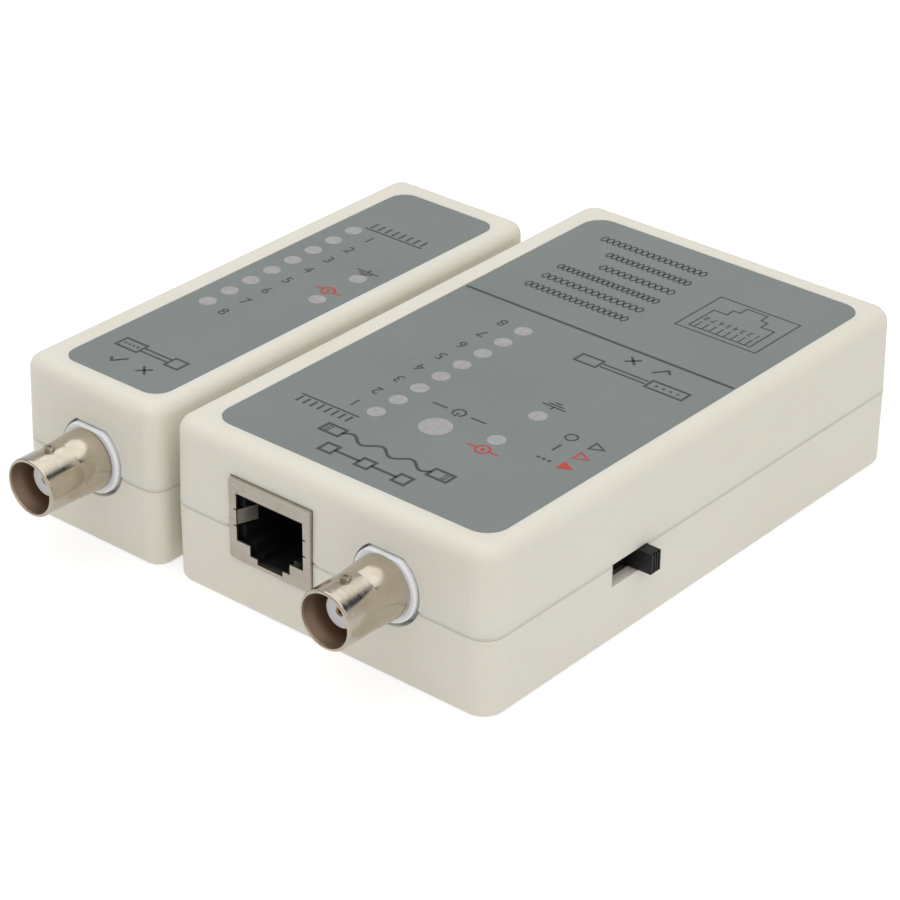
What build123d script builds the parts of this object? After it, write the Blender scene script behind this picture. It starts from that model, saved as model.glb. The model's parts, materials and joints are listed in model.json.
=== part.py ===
from build123d import *
import os

# Network cable tester: a main tester and its separate remote unit, side by side.
# Frame: origin at the centre of the main tester's underside, +Z up, -Y is the
# connector end of the main tester, +X is the side with the slide switch.

os.makedirs("parts", exist_ok=True)

# ---------------------------------------------------------------- both cases
case_height = 27.7
parting_height = 13.45      # height of the seam between the two shells
wall = 2.0
floor_thickness = 2.4
roof_thickness = 2.0
upper_draft = 1.35          # degrees, mould draft above the seam
lower_draft = 0.3           # degrees, mould draft below the seam
bottom_edge_radius = 0.9
seam_chamfer = 0.12         # small bevel on each shell that makes the visible seam line
relief_rise = 0.4           # the upper shell's edge lifts a little beside each opening
relief_run = 1.4
lip_thickness = 0.9         # lip of the lower shell that stands inside the upper shell
lip_height = 1.3
lip_clearance = 0.1
label_thickness = 0.25
label_recess = 0.3
label_gap = 0.1             # gap between the label's edge and its recess

# ------------------------------------------------------------- main tester
main_width = 62.5
main_length = 103.0
main_corner_radius = 3.8
main_edge_radius = 2.6
main_label_width = 53.8
main_label_length = 93.6
main_label_radius = 3.8
main_label_x = 0.93
main_label_y = -0.36

# ------------------------------------------------------------- remote unit
remote_width = 29.0
remote_length = 89.6
remote_corner_radius = 2.9
remote_edge_radius = 2.3
remote_label_width = 21.0
remote_label_length = 80.6
remote_label_radius = 3.2
remote_label_x = 1.15
remote_label_y = -0.7
remote_gap = 2.2            # air gap between the two cases
remote_front_lead = 0.65    # how far the remote's front stands ahead of the main's

remote_x = -(main_width / 2 + remote_gap + remote_width / 2)
remote_y = -main_length / 2 - remote_front_lead + remote_length / 2
remote_place = Location((remote_x, remote_y, 0))
main_place = Location((0, 0, 0))

# ------------------------------------------------------------- circuit boards
main_board_top = 8.55
remote_board_top = 7.75
board_thickness = 1.6
main_board_width = 55.0
main_board_back = 8.5
main_board_front = -49.0
remote_board_width = 24.0
remote_board_length = 84.6

# ------------------------------------------------------------- 8-way modular jack
jack_width = 16.3
jack_height = 13.8
jack_depth = 15.9
jack_proud = 0.4            # how far the shield stands ahead of the case
shield_sheet = 0.3
jack_mouth_width = 13.35
jack_mouth_bottom = 3.3     # heights above the board
jack_mouth_top = 11.4
jack_step_width = 8.0
jack_step_bottom = 1.55
jack_key_width = 5.1
jack_key_bottom = 0.65
plug_width = 11.8           # cavity of the plastic insert
plug_bottom = 3.45
plug_top = 10.3
plug_step_width = 7.6
plug_step_bottom = 1.75
plug_key_bottom = 0.8
plug_depth = 13.0
jack_wire_radius = 0.2
jack_wire_pitch = 1.02
jack_wire_count = 8
jack_wire_back = 2.0        # the wires enter the cavity here, bend, and end at the front
jack_wire_bend = 3.6
jack_wire_end = 11.3
jack_wire_drop = 2.0        # how far a wire's end hangs below the cavity's top
jack_insert_setback = 0.9   # insert's front behind the shield's front plate
jack_hole_gap = 0.1
leaf_height = 2.5           # spring leaf bent into the mouth from each side
leaf_middle = 7.2
leaf_depth = 3.2
leaf_lean = 1.2
leaf_sheet = 0.25
leaf_slit = 0.25            # relief slit above and below each leaf

# ------------------------------------------------------------- BNC socket
bnc_axis = 7.25             # height of the barrel axis above the board
bnc_proud = 13.0            # rim of the barrel ahead of the case face
bnc_barrel_radius = 4.8
bnc_bore_radius = 4.2
bnc_root_radius = 5.15      # the barrel flares gently toward the case
bnc_flare_setback = 7.0     # start of the flare behind the rim
bnc_lip = 0.35              # rounding of the rolled rim
main_root_gap = 0.12        # between the flare's back and the collar
remote_root_gap = 0.45
bnc_lug_radius = 0.85
bnc_lug_tip = 5.35
bnc_lug_setback = 4.5       # lug centre behind the rim
bnc_lug_dimple = 0.35
bnc_dielectric_radius = 2.7
bnc_dielectric_setback = 3.2
bnc_contact_radius = 0.7
bnc_contact_bore = 0.45
bnc_contact_tail = 9.5      # where the contact turns down, behind the block's socket
bnc_bore_floor = 2.0        # closed end of the barrel's bore, ahead of the case face
bnc_inner_end = 7.6         # back end of the barrel inside the block
bnc_collar_radius = 6.0
bnc_collar_flat = 5.2       # height of the collar's flat top above the axis
bnc_collar_proud = 0.5
bnc_collar_corner = 2.2     # rounding where the flat top meets the circle
bnc_block_width = 14.4
bnc_block_depth = 13.5
bnc_block_height = 14.4
bnc_block_front = wall + 0.25
bnc_cavity_front = 7.0      # hollow under the contact, open to the board
bnc_cavity_width = 6.0
bnc_hole_radius = 6.4
bnc_hole_flat = 5.55        # height of the opening's flat top above the axis
bnc_hole_corner = 0.4
bnc_lower_hole_radius = 6.65  # the lower shell's part of the opening is a little wider

# ------------------------------------------------------------- connector places
main_jack_x = -10.27
main_bnc_x = 12.1
remote_bnc_x = 0.6
remote_jack_x = 0.0
main_face = -main_length / 2
remote_front_face = -remote_length / 2
remote_back_face = remote_length / 2

# ------------------------------------------------------------- lamps
led_radius = 1.5
led_flange_radius = 1.9
power_led_radius = 2.5
power_led_flange_radius = 2.9
led_height = 5.0
led_flange_height = 1.0
led_tip = 27.2
led_lead_radius = 0.25
led_lead_spacing = 2.54
led_lead_stub = 1.3         # lead that shows below the board
led_hole_gap = 0.1
led_pitch = 5.0
led_count = 8

main_led_x = -8.6
main_led_first_y = -29.95
main_pin_spots = [(main_led_x, main_led_first_y + led_pitch * i) for i in range(led_count)]
main_status_spots = [(10.5, -24.8), (10.5, -15.05)]
power_spot = (1.07, -27.6)
remote_led_x = -5.35
remote_led_first_y = 22.45
remote_pin_spots = [(remote_led_x, remote_led_first_y - led_pitch * i) for i in range(led_count)]
remote_status_spots = [(7.4, 9.2), (7.4, -0.6)]
window_radius = 1.5
power_window_radius = 2.65

# ------------------------------------------------------------- screws and posts
post_radius = 3.0
boss_radius = 2.8
post_top = 13.0
boss_bottom = 13.2
case_screw_radius = 1.3
case_screw_length = 12.0
case_screw_head_radius = 2.4
case_screw_head_height = 1.8
case_screw_seat = 6.0       # underside pocket depth that takes the screw head
case_screw_pocket_radius = 2.7
screw_clearance = 0.05
board_screw_head_radius = 2.2
board_screw_head_height = 1.5
board_screw_length = 5.6
cross_recess = 0.7
main_case_screw_spots = [(-26.0, -45.8), (26.0, -45.8), (-24.0, 13.0), (24.0, 13.0)]
main_board_screw_spots = [(-24.0, -34.5), (23.5, -34.5), (2.0, 5.2)]
remote_case_screw_spots = [(-8.9, -21.5), (8.9, 21.0)]
remote_board_screw_spots = [(8.6, -22.0), (-9.2, 27.0)]

# ------------------------------------------------------------- slide switch
slot_front = -22.97
slot_back = -14.3
slot_bottom = 9.65
knob_length = 2.3
knob_bottom = 9.9
knob_top = 13.35
knob_end_gap = 0.2          # gap left behind the knob in its rear position
knob_travel = 5.8
knob_proud = 2.55           # knob's outer face ahead of the case side
knob_ribs = 4
knob_groove_depth = 0.3
knob_groove_width = 0.3
switch_length = 13.4
switch_bottom = main_board_top
switch_top = 14.6
switch_outer = 28.7
switch_depth = 5.4
switch_sheet = 0.3
slider_length = 6.4
slider_depth = 1.6
slider_height = 4.4
base_thickness = 1.2
terminal_count = 4
terminal_pitch = 2.5
terminal_sheet = 0.5
terminal_width = 1.1
terminal_rise = 3.2
wiper_sheet = 0.3
wiper_length = 4.4
wiper_height = 2.0
wiper_foot = 0.8            # contact feet under the wiper
wiper_foot_spread = 1.4

# ------------------------------------------------------------- battery and its bay
battery_length = 46.0
battery_width = 26.2
battery_height = 17.2
battery_x = -25.0           # end away from the terminals
battery_y = 19.6
battery_z = 2.7
battery_corner = 2.0
terminal_spacing = 12.7
terminal_radius = 2.9
terminal_height = 2.5
snap_thickness = 3.9
snap_width = 25.0
snap_height = 12.0
door_width = 52.0
door_front = 17.7
door_thickness = 2.0
door_gap = 0.2
door_tongue = 1.2
door_tongue_bottom = 1.0
door_tongue_top = 1.6
door_tongue_end = 46.0
door_bottom = 0.2
door_back_gap = 0.1
grip_first_y = 41.0         # finger grooves in the door's underside
grip_pitch = 1.6
grip_count = 5
grip_length = 18.0
grip_width = 0.8
grip_depth = 0.5
groove_gap = 0.1
bay_wall_y = 16.4           # partition between the board and the battery
bay_wall_thickness = 1.4
wire_radius = 0.6
wire_lane = 28.2            # the wires run along the side wall here
wire_landing = 25.5
wire_bend_radius = 1.2
wire_notch_width = 2.1
wire_notch_depth = 6.5


def save(piece, name, place=main_place):
    """Label one finished piece and write it as a STEP file at its place."""
    finished = piece.part.moved(place)
    finished.label = name
    export_step(finished, f"parts/{name}.step")
    print(name, "solids", len(finished.solids()), "volume", round(finished.volume, 1))


# ================================================================ case shells
def end_wall_plane(x, face_y, z):
    """Sketch plane on an end wall of a case: local x to the right, local y up."""
    return Plane((x, face_y, z), x_dir=(1, 0, 0), z_dir=(0, -1, 0))


def jack_cut(x, face_y, board_top):
    """Rectangle in the end wall that the jack's shield comes through."""
    with BuildSketch(end_wall_plane(x, face_y, board_top + jack_height / 2)) as cut:
        Rectangle(jack_width + 2 * jack_hole_gap, jack_height + 2 * jack_hole_gap)
    return cut


def flat_topped_circle(plane, radius, flat, corner):
    """Circle with its top cut off level at the height `flat` above the centre."""
    with BuildSketch(plane) as outline:
        Circle(radius)
        with Locations((0, flat)):
            Rectangle(2 * radius, radius, align=(Align.CENTER, Align.MIN), mode=Mode.SUBTRACT)
        fillet(outline.vertices().group_by(Axis.Y)[-1], radius=corner)
    return outline


def bnc_cut(x, face_y, board_top, radius=bnc_hole_radius):
    """Flat-topped round opening in the end wall that the BNC collar comes through."""
    plane = end_wall_plane(x, face_y, board_top + bnc_axis)
    return flat_topped_circle(plane, radius, bnc_hole_flat, bnc_hole_corner)


def seam_relief(x, face_y, half_width):
    """Shallow trapezium that lifts the upper shell's edge on both sides of an opening."""
    with BuildSketch(end_wall_plane(x, face_y, parting_height)) as relief:
        with BuildLine():
            Polyline(
                (-half_width - relief_run, 0),
                (-half_width, relief_rise),
                (half_width, relief_rise),
                (half_width + relief_run, 0),
                close=True,
            )
        make_face()
    return relief


def bnc_half_width(board_top):
    """Half width of the round BNC opening at the height of the seam."""
    drop = board_top + bnc_axis - parting_height
    return (bnc_hole_radius**2 - drop**2) ** 0.5


def switch_cut():
    """Slot in the side wall of the main tester, from below the seam up through the lip."""
    top = parting_height + lip_height
    middle = ((slot_front + slot_back) / 2, (slot_bottom + top) / 2)
    with BuildSketch(Plane((main_width / 2, middle[0], middle[1]), x_dir=(0, 1, 0), z_dir=(1, 0, 0))) as cut:
        Rectangle(slot_back - slot_front, top - slot_bottom)
    return cut


def upper_shell(width, length, corner, edge, label, lamps, cuts, bosses):
    """Upper half of a case: roof with its label recess, lamp holes and screw bosses."""
    label_width, label_length, label_radius, label_x, label_y = label
    rise = case_height - parting_height
    with BuildPart() as shell:
        with BuildSketch(Plane.XY.offset(parting_height)):
            RectangleRounded(width, length, corner)
        extrude(amount=rise, taper=upper_draft)
        fillet(shell.faces().sort_by(Axis.Z)[-1].edges(), radius=edge)
        chamfer(shell.faces().sort_by(Axis.Z)[0].edges(), length=seam_chamfer)
        with BuildSketch(Plane.XY.offset(parting_height)):
            RectangleRounded(width - 2 * wall, length - 2 * wall, corner - wall)
        extrude(amount=rise - roof_thickness, taper=upper_draft, mode=Mode.SUBTRACT)
        rebate_inset = 2 * (wall - lip_thickness - lip_clearance)
        with BuildSketch(Plane.XY.offset(parting_height)):
            RectangleRounded(width - rebate_inset, length - rebate_inset, corner - rebate_inset / 2)
        extrude(amount=lip_height + lip_clearance, mode=Mode.SUBTRACT)
        with BuildSketch(Plane((label_x, label_y, case_height))):
            RectangleRounded(label_width + 2 * label_gap, label_length + 2 * label_gap, label_radius)
        extrude(amount=-label_recess, mode=Mode.SUBTRACT)
        for hole_radius, spots in lamps:
            with BuildSketch(Plane.XY.offset(case_height)):
                with Locations(spots):
                    Circle(hole_radius)
            extrude(amount=-2 * roof_thickness, mode=Mode.SUBTRACT)
        with BuildSketch(Plane.XY.offset(boss_bottom)):
            with Locations(bosses):
                Circle(boss_radius)
        extrude(amount=case_height - roof_thickness - boss_bottom)
        with BuildSketch(Plane.XY.offset(boss_bottom)):
            with Locations(bosses):
                Circle(case_screw_radius + screw_clearance)
        extrude(amount=case_screw_seat + case_screw_length + 0.5 - boss_bottom, mode=Mode.SUBTRACT)
        for cut in cuts:
            extrude(cut.sketch, amount=wall + 1, both=True, mode=Mode.SUBTRACT)
    return shell


def lower_shell(width, length, corner, cuts, posts, stands, board_top):
    """Lower half of a case: floor, lip, screw posts and the stands under the board."""
    board_bottom = board_top - board_thickness
    with BuildPart() as shell:
        with BuildSketch(Plane.XY.offset(parting_height)):
            RectangleRounded(width, length, corner)
        extrude(amount=-parting_height, taper=lower_draft)
        fillet(shell.faces().sort_by(Axis.Z)[0].edges(), radius=bottom_edge_radius)
        chamfer(shell.faces().sort_by(Axis.Z)[-1].edges(), length=seam_chamfer)
        lip_inset = 2 * (wall - lip_thickness)
        with BuildSketch(Plane.XY.offset(parting_height - 1)):
            RectangleRounded(width - lip_inset, length - lip_inset, corner - lip_inset / 2)
        extrude(amount=1 + lip_height)
        with BuildSketch(Plane.XY.offset(floor_thickness)):
            RectangleRounded(width - 2 * wall, length - 2 * wall, corner - wall)
        extrude(amount=case_height, mode=Mode.SUBTRACT)
        with BuildSketch(Plane.XY.offset(floor_thickness)):
            with Locations(posts):
                Circle(post_radius)
        extrude(amount=post_top - floor_thickness)
        with BuildSketch(Plane.XY.offset(floor_thickness)):
            with Locations(stands):
                Circle(board_screw_head_radius + 0.3)
        extrude(amount=board_bottom - floor_thickness)
        with BuildSketch(Plane.XY.offset(board_bottom)):
            with Locations(stands):
                Circle(case_screw_radius + screw_clearance)
        extrude(amount=-(board_screw_length - board_thickness + 0.3), mode=Mode.SUBTRACT)
        with BuildSketch():
            with Locations(posts):
                Circle(case_screw_radius + 3 * screw_clearance)
        extrude(amount=post_top, mode=Mode.SUBTRACT)
        with BuildSketch():
            with Locations(posts):
                Circle(case_screw_pocket_radius)
        extrude(amount=case_screw_seat, mode=Mode.SUBTRACT)
        for cut in cuts:
            extrude(cut.sketch, amount=wall + 1, both=True, mode=Mode.SUBTRACT)
    return shell


def label_film(label, windows):
    """Printed film in the recess of the roof, with a round window over each lamp."""
    label_width, label_length, label_radius, label_x, label_y = label
    with BuildPart() as film:
        with BuildSketch(Plane((label_x, label_y, case_height - label_recess))):
            RectangleRounded(label_width, label_length, label_radius - label_gap)
        extrude(amount=label_thickness)
        for radius, spots in windows:
            with BuildSketch(Plane.XY.offset(case_height - label_recess)):
                with Locations(spots):
                    Circle(radius)
            extrude(amount=label_thickness, mode=Mode.SUBTRACT)
    return film


def window_discs(windows):
    """Frosted lamp windows, one disc for each lamp."""
    with BuildPart() as discs:
        for radius, spots in windows:
            with BuildSketch(Plane.XY.offset(case_height - label_recess)):
                with Locations(spots):
                    Circle(radius - 0.02)
            extrude(amount=label_thickness)
    return discs


def case_screws(spots):
    """Self-tapping screws driven up from the underside into the upper shell."""
    with BuildPart() as screws:
        with BuildSketch(Plane.XY.offset(case_screw_seat)):
            with Locations(spots):
                Circle(case_screw_head_radius)
        extrude(amount=-case_screw_head_height)
        chamfer(screws.faces().group_by(Axis.Z)[0].edges(), length=0.5)
        with BuildSketch(Plane.XY.offset(case_screw_seat)):
            with Locations(spots):
                Circle(case_screw_radius)
        extrude(amount=case_screw_length)
        for angle in (0, 90):
            with BuildSketch(Plane.XY.offset(case_screw_seat - case_screw_head_height)):
                with Locations(spots):
                    Rectangle(3 * cross_recess, cross_recess, rotation=angle)
            extrude(amount=1.0, mode=Mode.SUBTRACT)
    return screws


def board_screws(spots, board_top):
    """Short screws that hold a circuit board down on its stands."""
    with BuildPart() as screws:
        with BuildSketch(Plane.XY.offset(board_top)):
            with Locations(spots):
                Circle(board_screw_head_radius)
        extrude(amount=board_screw_head_height)
        fillet(screws.faces().group_by(Axis.Z)[-1].edges(), radius=0.6)
        with BuildSketch(Plane.XY.offset(board_top)):
            with Locations(spots):
                Circle(case_screw_radius)
        extrude(amount=-board_screw_length)
        for angle in (0, 90):
            with BuildSketch(Plane.XY.offset(board_top + board_screw_head_height)):
                with Locations(spots):
                    Rectangle(3 * cross_recess, cross_recess, rotation=angle)
            extrude(amount=-0.9, mode=Mode.SUBTRACT)
    return screws


# ================================================================ circuit boards
def lead_spots(spots):
    """Places of the two lead wires under every lamp."""
    half = led_lead_spacing / 2
    return [(x + side * half, y) for x, y in spots for side in (-1, 1)]


def circuit_board(outline, posts, screws, leads, board_top):
    """Board with clearance notches round the case posts, screw holes and lead holes."""
    width, front, back = outline
    board_bottom = board_top - board_thickness
    with BuildPart() as board:
        with BuildSketch(Plane((0, (front + back) / 2, board_bottom))):
            Rectangle(width, back - front)
        extrude(amount=board_thickness)
        with BuildSketch(Plane.XY.offset(board_bottom)):
            with Locations(posts):
                Circle(post_radius + 0.4)
            with Locations(screws):
                Circle(case_screw_radius + 0.15)
            with Locations(leads):
                Circle(led_lead_radius + 0.12)
        extrude(amount=board_thickness, mode=Mode.SUBTRACT)
        # corners left outside a post would be loose slivers, so only the main solid is kept
        biggest = board.part.solids().sort_by(SortBy.VOLUME)[-1]
        add(biggest, mode=Mode.REPLACE)
    return board


def lamps(spots, radius, flange_radius):
    """Round-top lamps with their flanges, standing under the windows."""
    with BuildPart() as bulbs:
        with Locations([(x, y, led_tip - led_height) for x, y in spots]):
            Cylinder(flange_radius, led_flange_height, align=(Align.CENTER, Align.CENTER, Align.MIN))
        with Locations([(x, y, led_tip - led_height) for x, y in spots]):
            Cylinder(radius, led_height - radius, align=(Align.CENTER, Align.CENTER, Align.MIN))
        with Locations([(x, y, led_tip - radius) for x, y in spots]):
            Sphere(radius)
    return bulbs


def lamp_leads(spots, board_top):
    """Wire legs from each lamp down through the board."""
    lead_end = board_top - board_thickness - led_lead_stub
    with BuildPart() as leads:
        with BuildSketch(Plane.XY.offset(led_tip - led_height)):
            with Locations(lead_spots(spots)):
                Circle(led_lead_radius)
        extrude(amount=-(led_tip - led_height - lead_end))
    return leads


def resistor_package(x, y, height, length, radius):
    """Round-ended body of one resistor, lying along X."""
    with BuildPart() as package:
        with BuildSketch(Plane((x - length / 2, y, height), x_dir=(0, 1, 0), z_dir=(1, 0, 0))):
            Circle(radius)
        extrude(amount=length)
        fillet(package.edges().filter_by(GeomType.CIRCLE), radius=0.5)
    return package


def resistors(spots, board_top, span=10.16, body_length=6.3, body_radius=1.15, lead_radius=0.3):
    """Axial resistors lying on the board along X, each on one wire bent down at both ends."""
    height = board_top + body_radius + 0.35
    packages = [resistor_package(x, y, height, body_length, body_radius) for x, y in spots]
    with BuildPart() as group:
        for x, y in spots:
            left = x - span / 2
            right = x + span / 2
            with BuildLine() as bent_wire:
                FilletPolyline((left, y, board_top), (left, y, height), (right, y, height),
                               (right, y, board_top), radius=0.8)
            with BuildSketch(Plane((left, y, board_top))):
                Circle(lead_radius)
            sweep(path=bent_wire.line)
        for package in packages:
            add(package.part)
    return group


def chip_body(x, y, length, body_width=6.35, body_height=3.3, stand_off=0.6):
    """Moulded package of a dual-in-line chip, long side along Y, notch at the front end."""
    with BuildPart() as chip:
        with BuildSketch(Plane((x, y, main_board_top + stand_off))):
            Rectangle(body_width, length)
        extrude(amount=body_height)
        chamfer(chip.faces().sort_by(Axis.Z)[-1].edges(), length=0.3)
        with BuildSketch(Plane((x, y - length / 2, main_board_top + stand_off + body_height))):
            Circle(0.9)
        extrude(amount=-0.6, mode=Mode.SUBTRACT)
    return chip


def chip_pins(chips, pitch=2.54, body_width=6.35, pin_width=0.9, pin_sheet=0.3):
    """Pins of the chips: each leaves the package side and turns down to the board."""
    shoulder = main_board_top + 2.4
    with BuildPart() as pins:
        for x, y, count in chips:
            rows = [(i - (count / 2 - 1) / 2) * pitch for i in range(count // 2)]
            for side in (-1, 1):
                edge = x + side * body_width / 2
                with BuildSketch(Plane.XY.offset(shoulder)):
                    with Locations([(edge + side * 0.4, y + row) for row in rows]):
                        Rectangle(0.8, pin_width)
                extrude(amount=pin_sheet)
                with BuildSketch(Plane.XY.offset(main_board_top)):
                    with Locations([(edge + side * (0.8 - pin_sheet / 2), y + row) for row in rows]):
                        Rectangle(pin_sheet, pin_width)
                extrude(amount=shoulder - main_board_top)
    return pins


# ================================================================ modular jack
# Local frame: x = 0 on the jack's centre line, y = 0 on the case face with +Y going
# into the case, z = 0 on the board's top face.
def mouth_outline(width, bottom, top, step_width, step_bottom, key_width, key_bottom, y):
    """Stepped outline of an 8-way jack: plug body, latch step and latch key below it."""
    with BuildSketch(Plane((0, y, 0), x_dir=(1, 0, 0), z_dir=(0, -1, 0))) as outline:
        with Locations((0, (bottom + top) / 2)):
            Rectangle(width, top - bottom)
        with Locations((0, (step_bottom + top) / 2)):
            Rectangle(step_width, top - step_bottom)
        with Locations((0, (key_bottom + top) / 2)):
            Rectangle(key_width, top - key_bottom)
    return outline


def jack_shield():
    """Folded tinplate shield round the jack, with a stepped mouth in its front plate."""
    with BuildPart() as shield:
        with BuildSketch(Plane((0, -jack_proud, jack_height / 2), x_dir=(1, 0, 0), z_dir=(0, -1, 0))):
            Rectangle(jack_width, jack_height)
        extrude(amount=-jack_depth)
        bottom_corners = shield.edges().filter_by(Axis.Y).group_by(Axis.Z)[0]
        fillet(bottom_corners, radius=0.8)
        top_corners = shield.edges().filter_by(Axis.Y).group_by(Axis.Z)[-1]
        fillet(top_corners, radius=0.5)
        inside = Plane((0, -jack_proud + shield_sheet, jack_height / 2), x_dir=(1, 0, 0), z_dir=(0, -1, 0))
        with BuildSketch(inside):
            RectangleRounded(jack_width - 2 * shield_sheet, jack_height - 2 * shield_sheet, 0.5)
        extrude(amount=-jack_depth, mode=Mode.SUBTRACT)
        mouth = mouth_outline(jack_mouth_width, jack_mouth_bottom, jack_mouth_top, jack_step_width,
                              jack_step_bottom, jack_key_width, jack_key_bottom, -jack_proud)
        extrude(mouth.sketch, amount=-shield_sheet, mode=Mode.SUBTRACT)
        # slits that free the spring leaves from the front plate
        slit_x = jack_mouth_width / 2
        slit_z = (leaf_height + leaf_slit) / 2
        slit_spots = [(i * slit_x, leaf_middle + k * slit_z) for i in (-1, 1) for k in (-1, 1)]
        with BuildSketch(Plane((0, -jack_proud, 0), x_dir=(1, 0, 0), z_dir=(0, -1, 0))):
            with Locations(slit_spots):
                Rectangle(4 * leaf_slit, leaf_slit)
        extrude(amount=-shield_sheet, mode=Mode.SUBTRACT)
    return shield


def jack_springs():
    """Two spring leaves that lean into the mouth and touch the side walls of a plug."""
    root_y = -jack_proud + shield_sheet + 0.01
    root_x = jack_mouth_width / 2 + 0.02
    tip_x = root_x - leaf_lean
    tip_y = root_y + leaf_depth
    with BuildPart() as springs:
        for side in (-1, 1):
            with BuildSketch(Plane.XY.offset(leaf_middle - leaf_height / 2)):
                with BuildLine():
                    Polyline(
                        (side * root_x, root_y),
                        (side * (root_x + leaf_sheet), root_y),
                        (side * (tip_x + leaf_sheet), tip_y),
                        (side * tip_x, tip_y),
                        close=True,
                    )
                make_face()
            extrude(amount=leaf_height)
    return springs


def jack_housing():
    """Black plastic insert with the cavity that the plug slides into."""
    front = -jack_proud + shield_sheet + jack_insert_setback
    with BuildPart() as housing:
        with BuildSketch(Plane((0, front, jack_height / 2), x_dir=(1, 0, 0), z_dir=(0, -1, 0))):
            RectangleRounded(jack_width - 2 * shield_sheet - 0.1, jack_height - 2 * shield_sheet - 0.1, 0.45)
        extrude(amount=-(jack_depth - shield_sheet - jack_insert_setback))
        cavity = mouth_outline(plug_width, plug_bottom, plug_top, plug_step_width,
                               plug_step_bottom, jack_key_width, plug_key_bottom, front)
        extrude(cavity.sketch, amount=-(plug_depth - 1), mode=Mode.SUBTRACT)
        # pockets that the spring leaves fold into
        with BuildSketch(Plane((0, front, leaf_middle), x_dir=(1, 0, 0), z_dir=(0, -1, 0))):
            Rectangle(jack_mouth_width + 1.0, leaf_height + 0.6)
        extrude(amount=-(leaf_depth - jack_insert_setback), mode=Mode.SUBTRACT)
        # slots above the cavity that guide the contact wires
        slot_middle = plug_top + 0.45
        first_wire = -jack_wire_pitch * (jack_wire_count - 1) / 2
        wire_row = [(first_wire + jack_wire_pitch * i, slot_middle) for i in range(jack_wire_count)]
        with BuildSketch(Plane((0, front + 0.8, 0), x_dir=(1, 0, 0), z_dir=(0, -1, 0))):
            with Locations(wire_row):
                Rectangle(0.6, 1.0)
        extrude(amount=-(plug_depth - 2.0), mode=Mode.SUBTRACT)
    return housing


def jack_contacts():
    """Eight gilt spring wires that slope down into the plug cavity."""
    back_z = plug_top + 0.35
    bend_z = plug_top + 0.2
    end_z = plug_top - jack_wire_drop
    with BuildPart() as wires:
        for i in range(jack_wire_count):
            x = jack_wire_pitch * (i - (jack_wire_count - 1) / 2)
            start = (x, jack_wire_back, back_z)
            with BuildLine() as path:
                Polyline(start, (x, jack_wire_bend, bend_z), (x, jack_wire_end, end_z))
            first_run = (0, jack_wire_bend - jack_wire_back, bend_z - back_z)
            with BuildSketch(Plane(origin=start, z_dir=first_run)):
                Circle(jack_wire_radius)
            sweep(path=path.line, transition=Transition.ROUND)
    return wires


# ================================================================ BNC socket
# Same local frame as the jack. The barrel's axis lies along Y at bnc_axis.
def bnc_body():
    """White moulded block on the board, with the collar that shows in the case opening."""
    with BuildPart() as body:
        with BuildSketch(end_wall_plane(0, bnc_block_front, bnc_block_height / 2)):
            Rectangle(bnc_block_width, bnc_block_height)
        extrude(amount=-bnc_block_depth)
        chamfer(body.faces().sort_by(Axis.Z)[-1].edges(), length=0.6)
        collar_plane = end_wall_plane(0, bnc_block_front, bnc_axis)
        collar = flat_topped_circle(collar_plane, bnc_collar_radius, bnc_collar_flat, bnc_collar_corner)
        extrude(collar.sketch, amount=bnc_block_front + bnc_collar_proud)
        chamfer(body.faces().sort_by(Axis.Y)[0].edges(), length=0.25)
        with BuildSketch(end_wall_plane(0, -bnc_collar_proud, bnc_axis)):
            Circle(bnc_barrel_radius + 0.05)
        extrude(amount=-(bnc_collar_proud + bnc_inner_end + 0.4), mode=Mode.SUBTRACT)
        cavity_height = bnc_axis + 3
        with BuildSketch(end_wall_plane(0, bnc_cavity_front, cavity_height / 2)):
            Rectangle(bnc_cavity_width, cavity_height)
        extrude(amount=-bnc_block_depth, mode=Mode.SUBTRACT)
    return body


def bnc_barrel(root_gap):
    """Nickel-plated barrel: rolled rim, gentle flare toward the case, two dimpled bayonet lugs."""
    rim = -bnc_proud
    root_back = -bnc_collar_proud - root_gap
    sleeve_radius = bnc_dielectric_radius + 0.05
    lip = bnc_lip
    lip_share = 1 - 0.5**0.5
    with BuildPart() as barrel:
        with BuildSketch(Plane((0, 0, bnc_axis), x_dir=(0, 1, 0), z_dir=(1, 0, 0))):
            with BuildLine():
                ThreePointArc(
                    (rim, bnc_barrel_radius - lip),
                    (rim + lip_share * lip, bnc_barrel_radius - lip_share * lip),
                    (rim + lip, bnc_barrel_radius),
                )
                Polyline(
                    (rim + lip, bnc_barrel_radius),
                    (rim + bnc_flare_setback, bnc_barrel_radius),
                    (root_back, bnc_root_radius),
                    (root_back, bnc_barrel_radius),
                    (bnc_inner_end, bnc_barrel_radius),
                    (bnc_inner_end, sleeve_radius),
                    (-bnc_bore_floor, sleeve_radius),
                    (-bnc_bore_floor, bnc_bore_radius),
                    (rim + 0.3, bnc_bore_radius),
                    (rim, bnc_bore_radius + 0.1),
                    (rim, bnc_barrel_radius - lip),
                )
            make_face()
        revolve(axis=Axis((0, 0, bnc_axis), (0, 1, 0)))
        lug_y = rim + bnc_lug_setback
        lug_root = (bnc_bore_radius + bnc_barrel_radius) / 2
        for side in (-1, 1):
            with BuildSketch(Plane((0, lug_y, bnc_axis + side * lug_root), z_dir=(0, 0, side))):
                Circle(bnc_lug_radius)
            extrude(amount=bnc_lug_tip - lug_root)
            with BuildSketch(Plane((0, lug_y, bnc_axis + side * bnc_lug_tip), z_dir=(0, 0, side))):
                Circle(bnc_lug_dimple)
            extrude(amount=-0.3, mode=Mode.SUBTRACT)
    return barrel


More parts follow.
